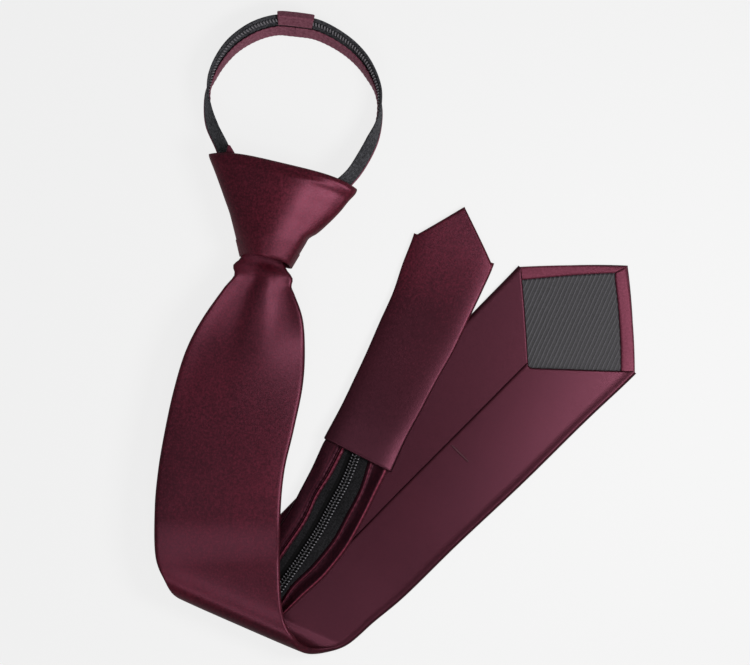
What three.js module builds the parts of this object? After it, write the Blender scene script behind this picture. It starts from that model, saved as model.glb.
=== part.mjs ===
// A burgundy satin zipper tie lying on a table, in millimetres, +Z up.
import * as THREE from "three";
import { mergeVertices } from "three/addons/utils/BufferGeometryUtils.js";

// Overall sizes
const tieWidth = 240;
const tieLength = 326;
const rollHeight = 22.8;
const gap = 0.3;
const originX = 0.2;
const originY = 4.1;

// Blade
const bladeThickness = 3.6;
const clothThickness = 1;
const dimpleDepth = 2.6;
const dimpleWidth = 0.3;
const lapShare = 0.06;
const lapRaised = 0.16;
const lapRampEnd = 0.27;
const tipLength = 37;
const hemShare = 0.146;
const hemShareLeft = 0.123;
const hemShareRight = 0.069;
const hemInset = 0.02;
const flapTuck = 1.05;
const tackLength = 12;
const tackWidth = 1.2;
const tackHeight = 0.8;

// Knot
const knotWidth = 76;
const knotLength = 46.5;
const knotDepth = 27;
const knotWall = 1.6;
const knotTurn = -0.233;
const knotRimArch = 3;
const knotCrown = 4.6;
const tabThickness = 1.2;
const tabHeight = 19.6;

// Tail
const tailWidth = 36.5;
const stripThickness = 1.6;
const tapeThickness = 1;
const chainWidth = 4.4;
const coilHeight = 1.6;
const capThickness = 3.4;
const capMouth = 5.8;
const capPoint = 21.5;

// Neck band
const bandWidth = 13;
const facingWidth = 5.5;
const neckCoilWidth = 2.3;
const neckCoilHeight = 1.4;
const neckGap = 0.45;
const keeperWidth = 8;
const keeperLength = 19;

// Slider
const sliderLength = 7;
const sliderWidth = 9;
const sliderHeight = 5;
const sliderRise = 7.4;

const satinRed = 0x5a2130;
const satinDark = 0x4a1a27;
const satinRose = 0x7a4655;
const tapeGrey = 0x3b3a3c;
const tapeBlack = 0x17151a;
const liningGrey = 0x464448;
const sliderBlack = 0x101012;

const group = new THREE.Group();
const up = new THREE.Vector3(0, 0, 1);

function shareMap(x, y, z) {
  return new THREE.Vector3(x * tieWidth, y * tieLength, z);
}

// A curve through rows that is read at a fractional row number.
function rowCurve(points) {
  const curve = new THREE.CatmullRomCurve3(points);
  const last = points.length - 1;
  return (row) => curve.getPoint(THREE.MathUtils.clamp(row / last, 0, 1));
}

// A closed solid between two grids of points with the same rows and columns.
function gridSolid(outer, inner, { ring = false, pinched = false } = {}) {
  const rows = outer.length;
  const columns = outer[0].length;
  const points = [...outer.flat(), ...inner.flat()];
  const faces = [];
  const quad = (a, b, c, d) => faces.push(a, b, c, a, c, d);
  const at = (layer, i, j) => layer * rows * columns + i * columns + (j % columns);
  const spans = ring ? columns : columns - 1;
  for (let i = 0; i < rows - 1; i += 1) {
    for (let j = 0; j < spans; j += 1) {
      quad(at(0, i, j), at(0, i, j + 1), at(0, i + 1, j + 1), at(0, i + 1, j));
      quad(at(1, i, j), at(1, i + 1, j), at(1, i + 1, j + 1), at(1, i, j + 1));
    }
  }
  const end = rows - 1;
  for (let j = 0; j < spans; j += 1) {
    quad(at(0, 0, j), at(1, 0, j), at(1, 0, j + 1), at(0, 0, j + 1));
    if (!pinched) {
      quad(at(0, end, j), at(0, end, j + 1), at(1, end, j + 1), at(1, end, j));
    }
  }
  if (!ring) {
    for (let i = 0; i < end; i += 1) {
      quad(at(0, i, 0), at(0, i + 1, 0), at(1, i + 1, 0), at(1, i, 0));
      const side = columns - 1;
      quad(at(0, i, side), at(1, i, side), at(1, i + 1, side), at(0, i + 1, side));
    }
  }
  const raw = new THREE.BufferGeometry().setFromPoints(points);
  raw.setIndex(faces);
  const merged = mergeVertices(raw, 1e-4);
  return cleanFaces(merged);
}

// Drops faces that merging has closed up, and turns the solid so that its faces point out.
function cleanFaces(geometry) {
  const index = Array.from(geometry.index.array);
  const position = geometry.getAttribute("position");
  const a = new THREE.Vector3();
  const b = new THREE.Vector3();
  const c = new THREE.Vector3();
  const kept = [];
  let volume = 0;
  for (let k = 0; k < index.length; k += 3) {
    const [p, q, r] = index.slice(k, k + 3);
    if (p === q || q === r || r === p) continue;
    kept.push([p, q, r]);
    a.fromBufferAttribute(position, p);
    b.fromBufferAttribute(position, q);
    c.fromBufferAttribute(position, r);
    volume += a.dot(b.cross(c));
  }
  geometry.setIndex(kept.flatMap(([p, q, r]) => (volume < 0 ? [p, r, q] : [p, q, r])));
  geometry.computeVertexNormals();
  return geometry;
}

function addPart(name, geometry, colour, roughness, metalness = 0) {
  const material = new THREE.MeshStandardMaterial({ color: colour, roughness, metalness });
  const mesh = new THREE.Mesh(geometry, material);
  mesh.name = name;
  group.add(mesh);
}

// A ribbon whose rows run from a left edge to a right edge. place() gives a point at an
// across distance from its middle line and a height over its middle surface.
function ribbon(left, right, floor = -Infinity) {
  const leftAt = rowCurve(left);
  const rightAt = rowCurve(right);
  const last = left.length - 1;
  const step = 0.05;
  const middle = (row) => leftAt(row).add(rightAt(row)).multiplyScalar(0.5);
  const halfWidth = (row) => leftAt(row).distanceTo(rightAt(row)) / 2;
  const onSurface = (row, across) => {
    const a = leftAt(row);
    const b = rightAt(row);
    const side = b.clone().sub(a).normalize();
    const point = a.add(b).multiplyScalar(0.5).addScaledVector(side, across);
    point.z = Math.max(point.z, floor);
    return point;
  };
  const place = (row, across, height) => {
    const before = onSurface(Math.max(row - step, 0), across);
    const along = onSurface(Math.min(row + step, last), across).sub(before);
    const side = rightAt(row).sub(leftAt(row));
    const normal = along.cross(side).normalize();
    return onSurface(row, across).addScaledVector(normal, height);
  };
  const samples = 40 * last;
  const lengths = [0];
  for (let k = 1; k <= samples; k += 1) {
    const a = middle(((k - 1) * last) / samples);
    const b = middle((k * last) / samples);
    lengths.push(lengths[k - 1] + a.distanceTo(b));
  }
  const lengthAt = (row) => lengths[Math.round((row * samples) / last)];
  const rowAt = (length) => {
    const k = Math.max(1, lengths.findIndex((v) => v >= length));
    const part = (length - lengths[k - 1]) / (lengths[k] - lengths[k - 1]);
    return ((k - 1 + part) * last) / samples;
  };
  return { place, halfWidth, lengthAt, rowAt, last };
}

// Rows of a half turn from the upper layer to the lower one, about a level line.
function rollRows(upper, lower, highest, lowest, outward, count) {
  const rows = [];
  const radius = (highest - lowest) / 2;
  for (let k = 0; k <= count; k += 1) {
    const angle = (Math.PI * k) / count;
    const point = upper.clone().lerp(lower, k / count);
    point.addScaledVector(outward, radius * Math.sin(angle));
    point.z = lowest + radius + radius * Math.cos(angle);
    rows.push(point);
  }
  return rows;
}

// Blade: its two edges as shares of the tie's width and length, height as a share of the roll.
const bladeFront = [
  { left: [-0.3073, 0.1511], right: [-0.2344, 0.1388], rise: 0.57 },
  { left: [-0.3135, 0.1219], right: [-0.2281, 0.1071], rise: 0.59 },
  { left: [-0.3365, 0.1097], right: [-0.2135, 0.0897], rise: 0.636 },
  { left: [-0.3448, 0.0897], right: [-0.2125, 0.0729], rise: 0.68 },
  { left: [-0.4031, 0.0284], right: [-0.1933, 0.0314], rise: 0.746 },
  { left: [-0.4365, -0.0192], right: [-0.1885, -0.0176], rise: 0.811 },
  { left: [-0.4615, -0.079], right: [-0.1927, -0.0713], rise: 0.855 },
  { left: [-0.4813, -0.1465], right: [-0.2115, -0.1403], rise: 0.89 },
  { left: [-0.4938, -0.2017], right: [-0.2313, -0.2048], rise: 0.912 },
  { left: [-0.501, -0.263], right: [-0.2396, -0.286], rise: 0.921 },
];
const bladeBack = [
  { left: [-0.2781, -0.2998], right: [-0.0427, -0.4348] },
  { left: [-0.1948, -0.2354], right: [0.0135, -0.4005] },
  { left: [-0.0948, -0.1572], right: [0.1281, -0.3183] },
  { left: [0.0365, -0.0544], right: [0.2656, -0.2232] },
  { left: [0.1646, 0.0422], right: [0.401, -0.125] },
  { left: [0.2569, 0.112], right: [0.5027, -0.054] },
  { left: [0.3844, 0.2129], right: [0.6302, 0.0468] },
];
const rollStart = { left: [-0.4969, -0.3459], right: [-0.2323, -0.4302] };
const rollEnd = { left: [-0.3760, -0.3857], right: [-0.1052, -0.4732] };
const rollTurns = 4;
const rollLine = shareMap(...rollStart.right, 0).sub(shareMap(...rollStart.left, 0));
const rollOutward = rollLine.clone().cross(up).normalize();

const bladeTop = rollHeight - bladeThickness / 2;
const bladeBottom = bladeThickness / 2;

function bladeEdge(side) {
  const roll = rollRows(
    shareMap(...rollStart[side], 0),
    shareMap(...rollEnd[side], 0),
    bladeTop,
    bladeBottom,
    rollOutward,
    rollTurns,
  );
  return [
    ...bladeFront.map((row) => shareMap(...row[side], row.rise * rollHeight)),
    ...roll,
    ...bladeBack.map((row) => shareMap(...row[side], bladeBottom)),
  ];
}

const blade = ribbon(bladeEdge("left"), bladeEdge("right"), bladeBottom);
const tipRow = blade.last - 1;
const tipBase = blade.lengthAt(tipRow);
const tipHalf = blade.halfWidth(tipRow);
const gatherEnd = 6.5;

function dimple(row, across) {
  const fade = THREE.MathUtils.smoothstep(row, 1.2, 2.4);
  const rest = 1 - THREE.MathUtils.smoothstep(row, 3, gatherEnd);
  return -dimpleDepth * fade * rest * Math.exp(-((across / dimpleWidth) ** 2));
}

function bladePoint(row, across, depth) {
  const share = across / blade.halfWidth(row);
  return blade.place(row, across, bladeThickness / 2 - depth + dimple(row, share));
}

// Columns of the folded cloth, from the free edge of the upper flap round to the lower one.
function bladeColumns() {
  const t = clothThickness;
  const full = bladeThickness;
  const lifted = full + gap;
  const round = full / 2;
  const columns = [];
  const flat = (share, outside, inside, end) => {
    columns.push({ share, inset: 0, outside, inside, end });
  };
  const turn = (sign) => {
    for (let k = 0; k <= 4; k += 1) {
      columns.push({ share: sign, angle: (sign * Math.PI * (2 - k)) / 4, round, t });
    }
  };
  flat(-lapShare, lifted + t, lifted, "flap");
  flat(lapRaised, lifted + t, lifted, "flap");
  flat(lapRampEnd, full, full - t, "flap");
  flat(0.6, full, full - t, "flap");
  turn(1);
  for (const share of [0.68, 0.36, 0.14, 0, -0.14, -0.36, -0.68]) flat(share, 0, t, "front");
  turn(-1);
  flat(-0.6, full, full - t, "flap");
  flat(lapShare, full, full - t, "flap");
  return columns;
}

// Where a column stands on its section: across distance and depth, outside and inside.
function bladeCorner(column, half, inside) {
  if (column.angle === undefined) {
    return [column.share * half, inside ? column.inside : column.outside];
  }
  const radius = inside ? column.round - column.t : column.round;
  const across = column.share * (half - column.round + radius * Math.cos(column.angle));
  return [across, column.round + radius * Math.sin(column.angle)];
}

function bladeEnd(column) {
  if (column.angle !== undefined) return tipBase;
  const open = 1 - Math.abs(column.share);
  return column.end === "front" ? tipBase + open * tipLength : tipBase - open * tipLength * 0.93;
}

const bladeRows = 42;
const bladeEndRows = 7;
const commonRow = tipRow - 1.5;
const commonLength = blade.lengthAt(commonRow);

function bladeGrid(inside) {
  const columns = bladeColumns();
  const grid = [];
  for (let i = 0; i <= bladeRows + bladeEndRows; i += 1) {
    grid.push(
      columns.map((column) => {
        let row = (commonRow * i) / bladeRows;
        if (i > bladeRows) {
          const share = (i - bladeRows) / bladeEndRows;
          const target = THREE.MathUtils.lerp(commonLength, bladeEnd(column), share);
          row = blade.rowAt(target);
        }
        const half = blade.halfWidth(row);
        const [across, depth] = bladeCorner(column, half, inside);
        return bladePoint(row, across, depth);
      }),
    );
  }
  return grid;
}

addPart("blade", gridSolid(bladeGrid(false), bladeGrid(true)), satinRed, 0.42);

// A flat slab on the inside of the blade's pointed end, in shares of the two sloping sides.
function tipSlab(name, corners, colour, roughness) {
  const low = clothThickness + gap;
  const high = low + clothThickness;
  const grid = (depth) =>
    corners.map((line) =>
      line.map(([leftSide, rightSide]) => {
        const across = (rightSide - leftSide) * tipHalf;
        const length = tipBase + tipLength * (1 - leftSide - rightSide);
        return bladePoint(blade.rowAt(length), across, depth);
      }),
    );
  addPart(name, gridSolid(grid(low), grid(high)), colour, roughness);
}

const mitre = 0.006;
const hemEnd = 0.94;
const hemInner = [hemShareLeft, hemShareRight];
const facingTop = [
  [
    [hemInset + mitre, hemInset],
    [hemInner[0] + mitre, hemInner[1]],
  ],
  [
    [hemEnd, hemInset],
    [hemEnd, hemShare],
  ],
];
const facingSide = [
  [
    [hemInset, hemInset + mitre],
    [hemInner[0], hemInner[1] + mitre],
  ],
  [
    [hemInset, hemEnd],
    [hemShare, hemEnd],
  ],
];
tipSlab("tip_facing_top", facingTop, satinRose, 0.4);
tipSlab("tip_facing_side", facingSide, satinRose, 0.4);
const liningLeft = hemInner[0] + mitre * 2;
const liningTop = hemInner[1] + mitre * 5;
const liningFar = hemShare + mitre * 2;
const liningCorners = [
  [
    [liningLeft, liningTop],
    [liningFar, flapTuck],
  ],
  [
    [flapTuck, liningFar],
    [flapTuck, flapTuck],
  ],
];
tipSlab("tip_lining", liningCorners, liningGrey, 0.85);

// Bar tack that holds the two flaps together.
const tackDistance = 89;
const tackDepth = bladeThickness + gap + clothThickness + gap;

function tackGrid(depth) {
  return [-tackWidth / 2, tackWidth / 2].map((along) =>
    [0, tackLength].map((across) => {
      const row = blade.rowAt(tipBase - tackDistance + along);
      return bladePoint(row, across, depth);
    }),
  );
}

addPart("bar_tack", gridSolid(tackGrid(tackDepth), tackGrid(tackDepth + tackHeight)), satinDark, 0.6);

// Knot: a padded sleeve, open at the top and the bottom.
const knotCorner = shareMap(-0.3885, 0.2814, 0);
const knotAcross = new THREE.Vector3(Math.cos(knotTurn), Math.sin(knotTurn), 0);
const knotAlong = new THREE.Vector3(Math.sin(knotTurn), -Math.cos(knotTurn), 0);
const knotRows = [
  { along: 0, left: 0.006, right: 0.994, deep: 0.92, middle: 0.5 },
  { along: 0.05, left: 0.02, right: 0.99, deep: 1, middle: 0.5 },
  { along: 0.15, left: 0.059, right: 0.962, deep: 1, middle: 0.5 },
  { along: 0.27, left: 0.106, right: 0.931, deep: 0.98, middle: 0.49 },
  { along: 0.45, left: 0.175, right: 0.864, deep: 0.94, middle: 0.47 },
  { along: 0.57, left: 0.222, right: 0.811, deep: 0.9, middle: 0.45 },
  { along: 0.64, left: 0.249, right: 0.76, deep: 0.87, middle: 0.44 },
  { along: 0.7, left: 0.268, right: 0.739, deep: 0.85, middle: 0.43 },
  { along: 0.77, left: 0.289, right: 0.741, deep: 0.82, middle: 0.42 },
  { along: 0.85, left: 0.3125, right: 0.724, deep: 0.77, middle: 0.4 },
  { along: 1, left: 0.357, right: 0.698, deep: 0.7, middle: 0.39 },
];
const knotPower = 2 / 3;
const knotColumns = 32;

function knotPoint(row, angle, inset) {
  const centre = ((row.left + row.right) / 2) * knotWidth;
  const half = ((row.right - row.left) / 2) * knotWidth - inset;
  const deep = (row.deep * knotDepth) / 2 - inset;
  const c = Math.cos(angle);
  const s = Math.sin(angle);
  const across = centre + half * Math.sign(c) * Math.abs(c) ** knotPower;
  const share = (across - centre) / half;
  const crown = knotCrown * (1 - share ** 4) * (1 - THREE.MathUtils.smoothstep(row.along, 0, 0.45));
  const arch = knotRimArch * Math.max(0, s) * THREE.MathUtils.smoothstep(row.along, 0.6, 1) + crown;
  return knotCorner
    .clone()
    .addScaledVector(knotAcross, across)
    .addScaledVector(knotAlong, row.along * knotLength - arch)
    .setZ(row.middle * knotDepth + deep * Math.sign(s) * Math.abs(s) ** knotPower);
}

function knotGrid(inset) {
  return knotRows.map((row) => {
    const points = [];
    for (let j = 0; j < knotColumns; j += 1) {
      points.push(knotPoint(row, (2 * Math.PI * j) / knotColumns, inset));
    }
    return points;
  });
}

addPart("knot", gridSolid(knotGrid(0), knotGrid(knotWall), { ring: true }), satinRed, 0.42);

// Small folded corner of satin behind the knot's upper left.
const tabCorners = [
  [-0.3471, 0.2998],
  [-0.3579, 0.2707],
  [-0.325, 0.2676],
];
const tabShape = new THREE.Shape(tabCorners.map(([x, y]) => new THREE.Vector2(x * tieWidth, y * tieLength)));
const tabSolid = new THREE.ExtrudeGeometry(tabShape, { depth: tabThickness, bevelEnabled: false });
addPart("knot_tab", tabSolid.translate(0, 0, tabHeight), satinRose, 0.45);

// Tail: the closed zip. Offsets from the teeth are shares of the tail's width.
const tailRows = [
  { at: [-0.2781, 0.1541], rise: 0.33, turn: -13, left: 0.25, leftIn: 0.11, rightIn: 0.11, right: 0.25 },
  { at: [-0.275, 0.1173], rise: 0.33, turn: -13, left: 0.25, leftIn: 0.11, rightIn: 0.11, right: 0.25 },
  { at: [-0.2865, 0.059], rise: 0.375, turn: -8, left: 0.33, leftIn: 0.15, rightIn: 0.15, right: 0.33 },
  { at: [-0.3115, -0.0637], rise: 0.58, turn: -5, left: 0.4, leftIn: 0.19, rightIn: 0.18, right: 0.4 },
  { at: [-0.3323, -0.2017], rise: 0.66, turn: -12, left: 0.42, leftIn: 0.2, rightIn: 0.18, right: 0.4 },
  { at: [-0.3177, -0.3167], rise: 0.69, turn: -20, left: 0.44, leftIn: 0.2, rightIn: 0.16, right: 0.34 },
];
const tailBackRows = [
  { at: [-0.2344, -0.3770], turn: -31, left: 0.493, leftIn: 0.212, rightIn: 0.096, right: 0.329 },
  { at: [-0.1969, -0.3376], turn: -34, left: 0.493, leftIn: 0.219, rightIn: 0.171, right: 0.418 },
  { at: [-0.1581, -0.2937], turn: -31, left: 0.493, leftIn: 0.212, rightIn: 0.219, right: 0.459 },
  { at: [-0.1302, -0.2554], turn: -28, left: 0.493, leftIn: 0.233, rightIn: 0.219, right: 0.466 },
  { at: [-0.1052, -0.2216], turn: -25, left: 0.500, leftIn: 0.212, rightIn: 0.212, right: 0.452 },
  { at: [-0.0829, -0.1817], turn: -22.5, left: 0.486, leftIn: 0.178, rightIn: 0.178, right: 0.479 },
  { at: [-0.0771, -0.1710], turn: -22.5, left: 0.466, leftIn: 0.178, rightIn: 0.178, right: 0.466 },
];
const tailRoll = { from: [-0.2833, -0.4123], to: [-0.2723, -0.4160], turn: -24.9 };
const tailRollOffsets = { left: 0.466, leftIn: 0.205, rightIn: 0.123, right: 0.26 };
const tailTop = 0.69 * rollHeight;
const tailLow = bladeThickness + gap + clothThickness + gap + stripThickness / 2 + 0.1;

function tailControls() {
  const down = tailRows.map((row) => ({ ...row, point: shareMap(...row.at, row.rise * rollHeight) }));
  const turned = rollRows(
    shareMap(...tailRoll.from, 0),
    shareMap(...tailRoll.to, 0),
    tailTop,
    tailLow,
    rollOutward,
    rollTurns,
  ).map((point) => ({ ...tailRollOffsets, turn: tailRoll.turn, point }));
  const back = tailBackRows.map((row) => ({ ...row, point: shareMap(...row.at, tailLow) }));
  return [...down, ...turned, ...back];
}

const tailControl = tailControls();
const tailEdge = (sign) =>
  tailControl.map(({ point, turn }) => {
    const angle = THREE.MathUtils.degToRad(turn);
    const side = new THREE.Vector3(Math.cos(angle), Math.sin(angle), 0);
    return point.clone().addScaledVector(side, sign * tailWidth);
  });
const tail = ribbon(tailEdge(-1), tailEdge(1), tailLow);
const tailOffset = (name) =>
  rowCurve(tailControl.map((row, k) => new THREE.Vector3(row[name] * tailWidth, k, 0)));
const tailSamples = 42;

// A slab along the tail between two across distances, over two heights.
function tailSlab(name, sides, low, high, colour, roughness, end = tail.last) {
  const grid = (height) => {
    const rows = [];
    for (let i = 0; i <= tailSamples; i += 1) {
      const row = (end * i) / tailSamples;
      rows.push(sides(row).map((across) => tail.place(row, across, -height)));
    }
    return rows;
  };
  addPart(name, gridSolid(grid(low), grid(high)), colour, roughness);
}

const leftOut = tailOffset("left");
const leftIn = tailOffset("leftIn");
const rightIn = tailOffset("rightIn");
const rightOut = tailOffset("right");
const stripHalf = stripThickness / 2;
const tapeHalf = tapeThickness / 2;
const coilLow = tapeHalf + gap;
const coilHigh = coilLow + coilHeight;
const meeting = gap / 2;

const stripEnd = tail.last - 1.12;
const stripLeft = (k) => [-leftOut(k).x, -leftIn(k).x];
const stripRight = (k) => [rightIn(k).x, rightOut(k).x];
tailSlab("tail_strip_left", stripLeft, -stripHalf, stripHalf, satinRed, 0.42, stripEnd);
tailSlab("tail_strip_right", stripRight, -stripHalf, stripHalf, satinRed, 0.42, stripEnd);
tailSlab("tail_tape_left", (k) => [-leftIn(k).x + gap * 2, -meeting], -tapeHalf, tapeHalf, tapeBlack, 0.85);
tailSlab("tail_tape_right", (k) => [meeting, rightIn(k).x - gap * 2], -tapeHalf, tapeHalf, tapeBlack, 0.85);
tailSlab("tail_coil_left", () => [-chainWidth / 2, -meeting], coilLow, coilHigh, tapeBlack, 0.4);
tailSlab("tail_coil_right", () => [meeting, chainWidth / 2], coilLow, coilHigh, tapeBlack, 0.4);

// Tail cap: a flat sleeve with an open mouth and a square point. Edge heights are in millimetres
// over the table, as shares of the roll's height.
const capRows = [
  { left: [-0.1469, -0.1526], right: [-0.0115, -0.2048], leftRise: 0.316, rightRise: 0.316, full: 1 },
  { left: [-0.1135, -0.1035], right: [0.0219, -0.1557], leftRise: 0.245, rightRise: 0.29, full: 0.3 },
  { left: [-0.0865, -0.0621], right: [0.0531, -0.1127], leftRise: 0.211, rightRise: 0.28, full: 0.05 },
  { left: [-0.0594, -0.0192], right: [0.0875, -0.0644], leftRise: 0.193, rightRise: 0.276, full: 0 },
  { left: [-0.0323, 0.0268], right: [0.1219, -0.0192], leftRise: 0.158, rightRise: 0.27, full: 0 },
  { left: [-0.0052, 0.0713], right: [0.1531, 0.0291], leftRise: 0.123, rightRise: 0.258, full: 0 },
  { left: [0.0144, 0.1143], right: [0.1823, 0.0744], leftRise: 0.096, rightRise: 0.19, full: 0 },
  { left: [0.0388, 0.162], right: [0.2062, 0.1152], leftRise: 0.083, rightRise: 0.114, full: 0 },
  { left: [0.0635, 0.2359], right: [0.2313, 0.1891], leftRise: 0.08, rightRise: 0.082, full: 0 },
];
const capEdge = (side, rise) => capRows.map((row) => shareMap(...row[side], row[rise] * rollHeight));
const cap = ribbon(capEdge("left", "leftRise"), capEdge("right", "rightRise"));
const capSwell = rowCurve(capRows.map((row, k) => new THREE.Vector3(row.full, k, 0)));
const capTipRow = cap.last - 1;
const capBase = cap.lengthAt(capTipRow);
const capCommon = capTipRow - 0.6;
const capSide = [1, 0.72, 0.36, 0, -0.36, -0.72, -1];
const capBodyRows = 12;
const capEndRows = 4;

function capGrid(inset) {
  const grid = [];
  const total = capBodyRows + capEndRows + 1;
  for (let i = 0; i <= total; i += 1) {
    const points = [];
    for (const face of [1, -1]) {
      for (const share of face > 0 ? capSide : [...capSide].reverse()) {
        let row = (capCommon * i) / capBodyRows;
        let pinch = 1;
        if (i > capBodyRows) {
          const end = capBase + (1 - Math.abs(share)) * capPoint - inset * Math.SQRT2;
          const back = i === total ? 0 : capThickness / 2;
          const steps = Math.min(i - capBodyRows, capEndRows) / capEndRows;
          const start = cap.lengthAt(capCommon);
          row = cap.rowAt(THREE.MathUtils.lerp(start, end - capThickness / 2, steps) + capThickness / 2 - back);
          pinch = i === total ? 0 : 1;
        }
        const swell = THREE.MathUtils.lerp(capThickness, capMouth, capSwell(row).x);
        const edge = Math.abs(share) === 1 ? 0.45 : 1;
        const height = face * Math.max(swell / 2 - inset, 0) * pinch * edge;
        points.push(cap.place(row, share * (cap.halfWidth(row) - inset), height));
      }
    }
    grid.push(points);
  }
  return grid;
}

const capSolid = gridSolid(capGrid(0), capGrid(clothThickness), { ring: true, pinched: true });
addPart("tail_cap", capSolid, satinRed, 0.42);

// Neck band: its middle line, the height of its middle and how far its upper edge leans out.
const neckLeftRows = [
  { at: [-0.2906, 0.1940], rise: 12, lean: -76 },
  { at: [-0.3323, 0.2416], rise: 13.2, lean: -48 },
  { at: [-0.3604, 0.2933], rise: 13.3, lean: -27 },
  { at: [-0.3802, 0.3275], rise: 9.6, lean: -24 },
  { at: [-0.3885, 0.3551], rise: 7.6, lean: -14 },
  { at: [-0.3900, 0.3811], rise: 7, lean: -2 },
  { at: [-0.3833, 0.4026], rise: 7, lean: 10 },
  { at: [-0.3677, 0.4271], rise: 7, lean: 20 },
  { at: [-0.3385, 0.4525], rise: 6.9, lean: 30 },
  { at: [-0.2927, 0.4739], rise: 6.5, lean: 39 },
  { at: [-0.2469, 0.4830], rise: 6.3, lean: 43 },
  { at: [-0.2127, 0.4842], rise: 6.3, lean: 44 },
];
const neckRightRows = [
  { at: [-0.2323, 0.1940], rise: 12, lean: -76 },
  { at: [-0.1948, 0.2002], rise: 12.6, lean: -60 },
  { at: [-0.1365, 0.2224], rise: 13.2, lean: -36 },
  { at: [-0.0938, 0.2508], rise: 13, lean: -27 },
  { at: [-0.0698, 0.2784], rise: 9.6, lean: -28 },
  { at: [-0.0521, 0.3044], rise: 8, lean: -24 },
  { at: [-0.0396, 0.3290], rise: 7.2, lean: -12 },
  { at: [-0.0344, 0.3535], rise: 7, lean: -2 },
  { at: [-0.0369, 0.3811], rise: 7, lean: 8 },
  { at: [-0.0500, 0.4064], rise: 7, lean: 19 },
  { at: [-0.0688, 0.4287], rise: 6.9, lean: 27 },
  { at: [-0.0969, 0.4486], rise: 6.6, lean: 33 },
  { at: [-0.1344, 0.4663], rise: 6.5, lean: 38 },
  { at: [-0.1677, 0.4762], rise: 6.4, lean: 42 },
  { at: [-0.2040, 0.4833], rise: 6.3, lean: 44 },
];
const neckSamples = 42;

// The band's frame: place() takes a height up the band and a distance outwards from its middle.
function neckBand(rows, outwardSign) {
  const middle = rowCurve(rows.map((row) => shareMap(...row.at, row.rise)));
  const leaning = rowCurve(rows.map((row, k) => new THREE.Vector3(row.lean, k, 0)));
  const last = rows.length - 1;
  const step = 0.05;
  const place = (row, height, outwards) => {
    const along = middle(Math.min(row + step, last)).sub(middle(Math.max(row - step, 0)));
    const outside = along.cross(up).multiplyScalar(outwardSign).setZ(0).normalize();
    const lean = THREE.MathUtils.degToRad(leaning(row).x);
    const bandUp = outside.clone().multiplyScalar(Math.sin(lean)).setZ(Math.cos(lean));
    const face = outside.multiplyScalar(Math.cos(lean)).setZ(-Math.sin(lean));
    return middle(row).addScaledVector(bandUp, height).addScaledVector(face, outwards);
  };
  return { place, last };
}

// A length of cloth along the band, between an outer and an inner line of its section.
function bandSolid(name, band, outer, inner, colour, roughness) {
  const grid = (line) => {
    const rows = [];
    for (let i = 0; i <= neckSamples; i += 1) {
      const row = (band.last * i) / neckSamples;
      rows.push(line.map(([height, outwards]) => band.place(row, height, outwards)));
    }
    return rows;
  };
  addPart(name, gridSolid(grid(outer), grid(inner)), colour, roughness);
}

const bandHalf = bandWidth / 2;
const hemFold = clothThickness + gap;
const tapeFoot = -bandHalf + hemFold;
const faceIn = tapeHalf + neckGap;
const faceOut = faceIn + clothThickness;
const tapeLines = {
  outer: [bandHalf, 0, tapeFoot].map((height) => [height, tapeHalf]),
  inner: [bandHalf, 0, tapeFoot].map((height) => [height, -tapeHalf]),
};
const facingLines = {
  outer: [
    [-bandHalf + facingWidth, -faceOut],
    [-bandHalf, -faceOut],
    [-bandHalf, tapeHalf],
  ],
  inner: [
    [-bandHalf + facingWidth, -faceIn],
    [-bandHalf + clothThickness, -faceIn],
    [-bandHalf + clothThickness, tapeHalf],
  ],
};
const coilTop = bandHalf - gap;
const coilLines = {
  outer: [
    [coilTop, -faceIn],
    [coilTop - neckCoilWidth, -faceIn],
  ],
  inner: [
    [coilTop, -faceIn - neckCoilHeight],
    [coilTop - neckCoilWidth, -faceIn - neckCoilHeight],
  ],
};

function addNeck(side, rows, sign) {
  const band = neckBand(rows, sign);
  bandSolid(`neck_tape_${side}`, band, tapeLines.outer, tapeLines.inner, tapeGrey, 0.85);
  bandSolid(`neck_facing_${side}`, band, facingLines.outer, facingLines.inner, satinRose, 0.42);
  bandSolid(`neck_coil_${side}`, band, coilLines.outer, coilLines.inner, tapeBlack, 0.4);
  return band;
}

const neckLeft = addNeck("left", neckLeftRows, -1);
const neckRight = addNeck("right", neckRightRows, 1);

// Keeper: a short sleeve over the upper edge where the two halves meet.
const keeperIn = faceIn + neckCoilHeight + gap;
const keeperFoot = bandHalf + hemFold - keeperWidth;
const keeperTop = bandHalf + gap;
const keeperInner = [
  [keeperFoot, -keeperIn],
  [keeperTop, -keeperIn],
  [keeperTop, faceIn],
  [keeperFoot, faceIn],
];
const keeperOuter = [
  [keeperFoot, -keeperIn - clothThickness],
  [keeperTop + clothThickness, -keeperIn - clothThickness],
  [keeperTop + clothThickness, faceOut],
  [keeperFoot, faceOut],
];
const keeperSteps = 8;
const keeperRows = [1.08, 1];

function keeperGrid(line) {
  const middle = new THREE.Vector3();
  const rows = [];
  for (let i = 0; i <= keeperSteps; i += 1) {
    const share = (2 * i) / keeperSteps - 1;
    const distance = (share * keeperLength) / 2;
    const back = (Math.abs(distance) / keeperLength) * 2;
    const band = share < 0 ? neckLeft : neckRight;
    const row = band.last - back * (share < 0 ? keeperRows[0] : keeperRows[1]);
    rows.push(line.map(([height, outwards]) => middle.copy(band.place(row, height, outwards)).clone()));
  }
  return rows;
}

addPart("neck_keeper", gridSolid(keeperGrid(keeperOuter), keeperGrid(keeperInner)), satinRose, 0.42);

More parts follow.
